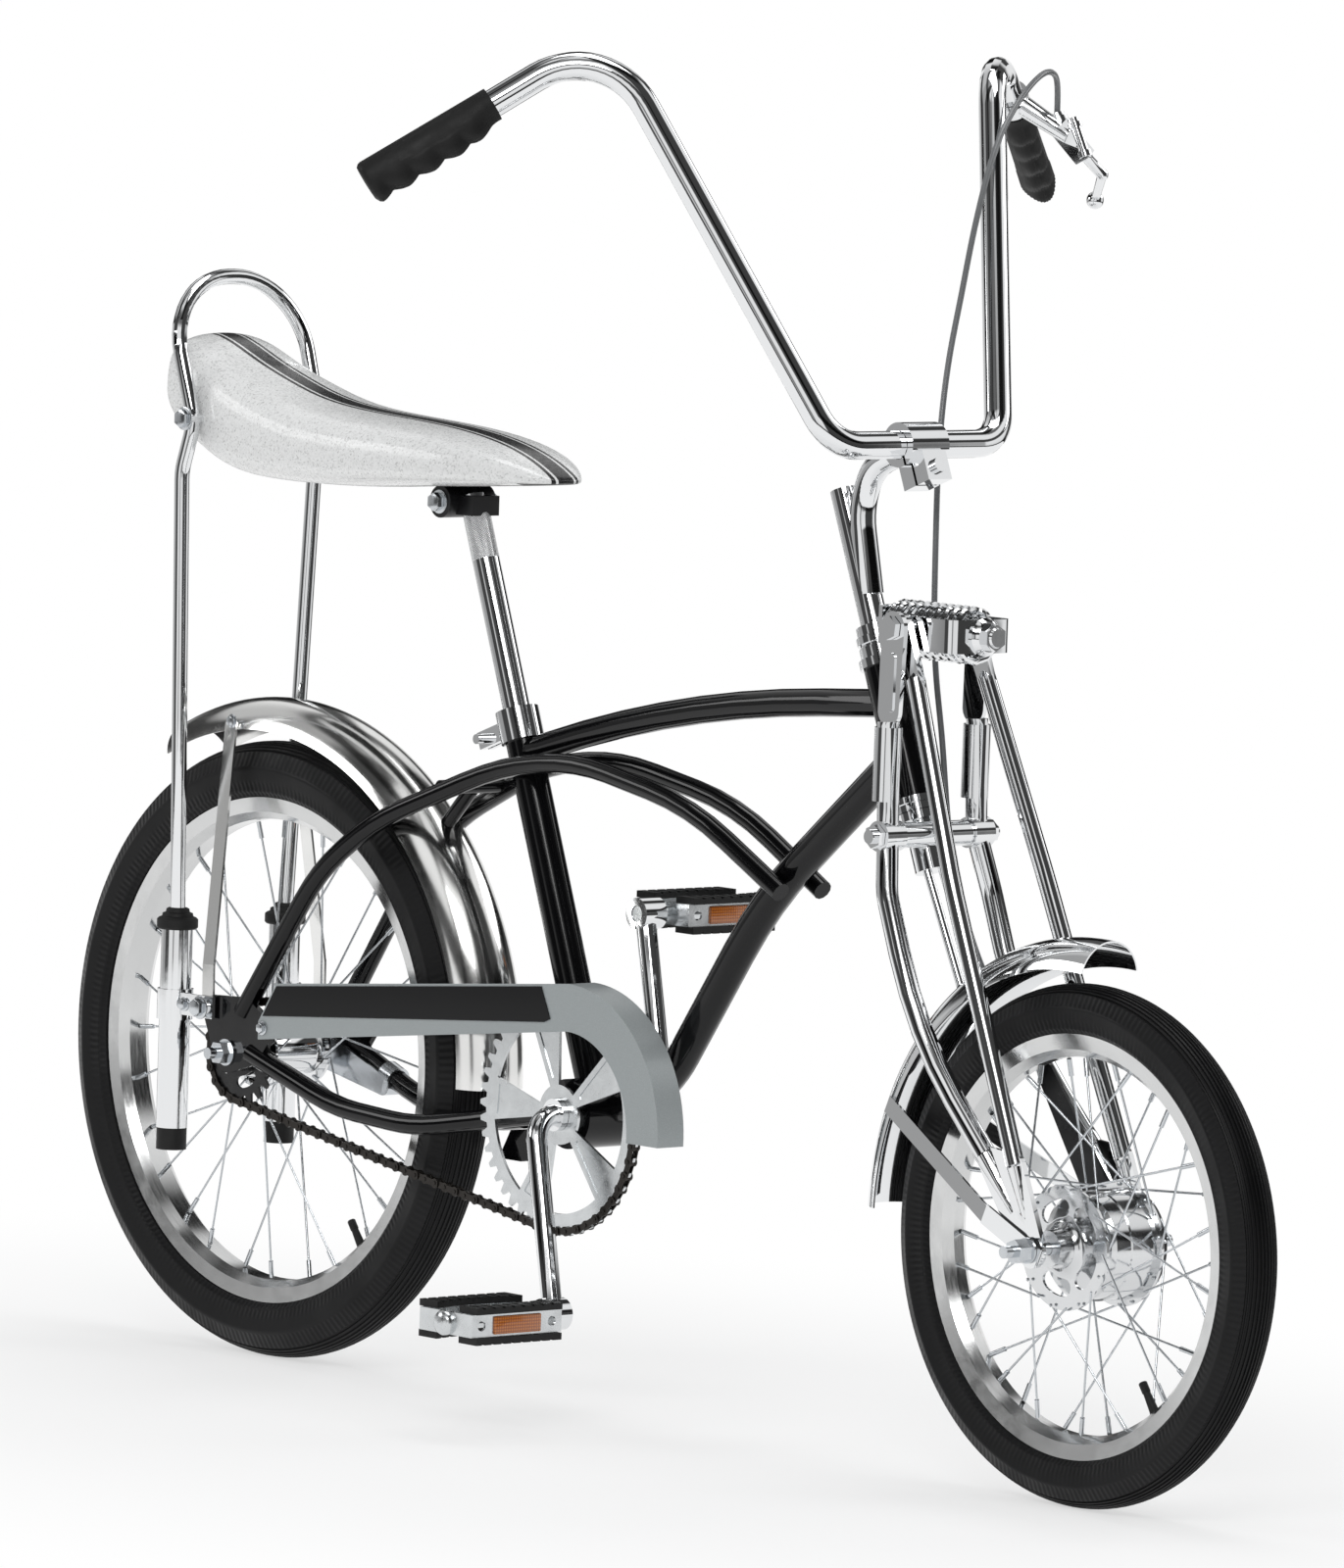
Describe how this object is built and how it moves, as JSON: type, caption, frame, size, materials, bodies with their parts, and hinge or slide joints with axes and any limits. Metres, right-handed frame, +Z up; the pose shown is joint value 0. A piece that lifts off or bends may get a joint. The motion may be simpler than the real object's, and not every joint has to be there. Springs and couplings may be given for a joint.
{
  "type": "chopper bicycle",
  "caption": "Chopper bicycle with a high-rise handlebar, long padded saddle with a rear hoop, springer fork, small front wheel, chain drive with a guard, and fenders.",
  "frame": {"origin": "top of the saddle where the rider sits", "axes": "+X forward, +Y to the rider's left, +Z up"},
  "size_m": [1.4334, 0.7224, 1.0947],
  "materials": {
    "frame_black": "gloss",
    "chrome": "mirror plated",
    "polished_steel": "polished",
    "plated_steel": "zinc plated",
    "black_steel": "satin",
    "guard_silver": "silver grey paint with a black upper panel",
    "saddle_vinyl": "sparkling silver white vinyl",
    "black_rubber": "matt",
    "pedal_metal": "plated",
    "cable_grey": "satin sleeve",
    "tyre_black": "matt"
  },
  "bodies": {
    "frame": {"main_frame": "frame_black", "twin_tubes": "frame_black", "chainstays": "frame_black", "headset_cups": "chrome", "seat_collar": "chrome", "seat_post": "chrome", "saddle_clamp": "black_steel", "saddle": "saddle_vinyl", "sissy_bar": "chrome", "damper_bodies": "chrome", "damper_rubbers": "black_rubber", "rear_fender": "polished_steel", "chain_guard": "guard_silver", "chain": "black_steel", "rear_axle": "plated_steel", "coaster_arm": "plated_steel"},
    "rear_wheel": {"rear_tyre": "tyre_black", "rear_rim": "polished_steel", "rear_spokes": "plated_steel", "rear_hub": "chrome"},
    "rear_cog": {"rear_cog": "black_steel"},
    "crank": {"crank": "chrome", "chainring": "chrome"},
    "pedal_right": {"pedal_right_cage": "pedal_metal", "pedal_right_rubbers": "black_rubber"},
    "pedal_left": {"pedal_left_cage": "pedal_metal", "pedal_left_rubbers": "black_rubber"},
    "fork": {"fork_crown": "chrome", "fork_legs": "chrome", "fork_rods": "chrome", "fork_spring": "chrome", "spring_yoke": "polished_steel", "front_fender": "chrome", "front_axle": "plated_steel", "brake_plate": "black_steel", "stem": "chrome", "handlebar": "chrome", "grips": "black_rubber", "brake_lever": "chrome", "brake_cable": "cable_grey"},
    "front_wheel": {"front_tyre": "tyre_black", "front_rim": "polished_steel", "front_spokes": "plated_steel", "front_hub": "chrome"}
  },
  "joints": [
    {"name": "steer", "type": "hinge", "parent": "frame", "child": "fork", "pos_m": [0.6406, 0, -0.246], "axis": [-0.3746, 0, 0.9272], "range_deg": [-75, 75]},
    {"name": "rear_wheel_spin", "type": "hinge", "parent": "frame", "child": "rear_wheel", "pos_m": [-0.12, 0, -0.532], "axis": [0, 1, 0], "continuous": true},
    {"name": "crank_spin", "type": "hinge", "parent": "frame", "child": "crank", "pos_m": [0.284, 0, -0.542], "axis": [0, 1, 0], "continuous": true},
    {"name": "rear_cog_spin", "type": "hinge", "parent": "frame", "child": "rear_cog", "pos_m": [-0.12, 0, -0.532], "axis": [0, 1, 0], "continuous": true},
    {"name": "pedal_right_spin", "type": "hinge", "parent": "crank", "child": "pedal_right", "pos_m": [0.33609, -0.088, -0.69328], "axis": [0, 1, 0], "continuous": true},
    {"name": "pedal_left_spin", "type": "hinge", "parent": "crank", "child": "pedal_left", "pos_m": [0.23191, 0.088, -0.39072], "axis": [0, 1, 0], "continuous": true},
    {"name": "front_wheel_spin", "type": "hinge", "parent": "fork", "child": "front_wheel", "pos_m": [0.85846, 0, -0.585], "axis": [0, 1, 0], "continuous": true}
  ],
  "couplings": [
    {"joint": "rear_cog_spin", "follows": "crank_spin", "ratio": 2.3}
  ]
}
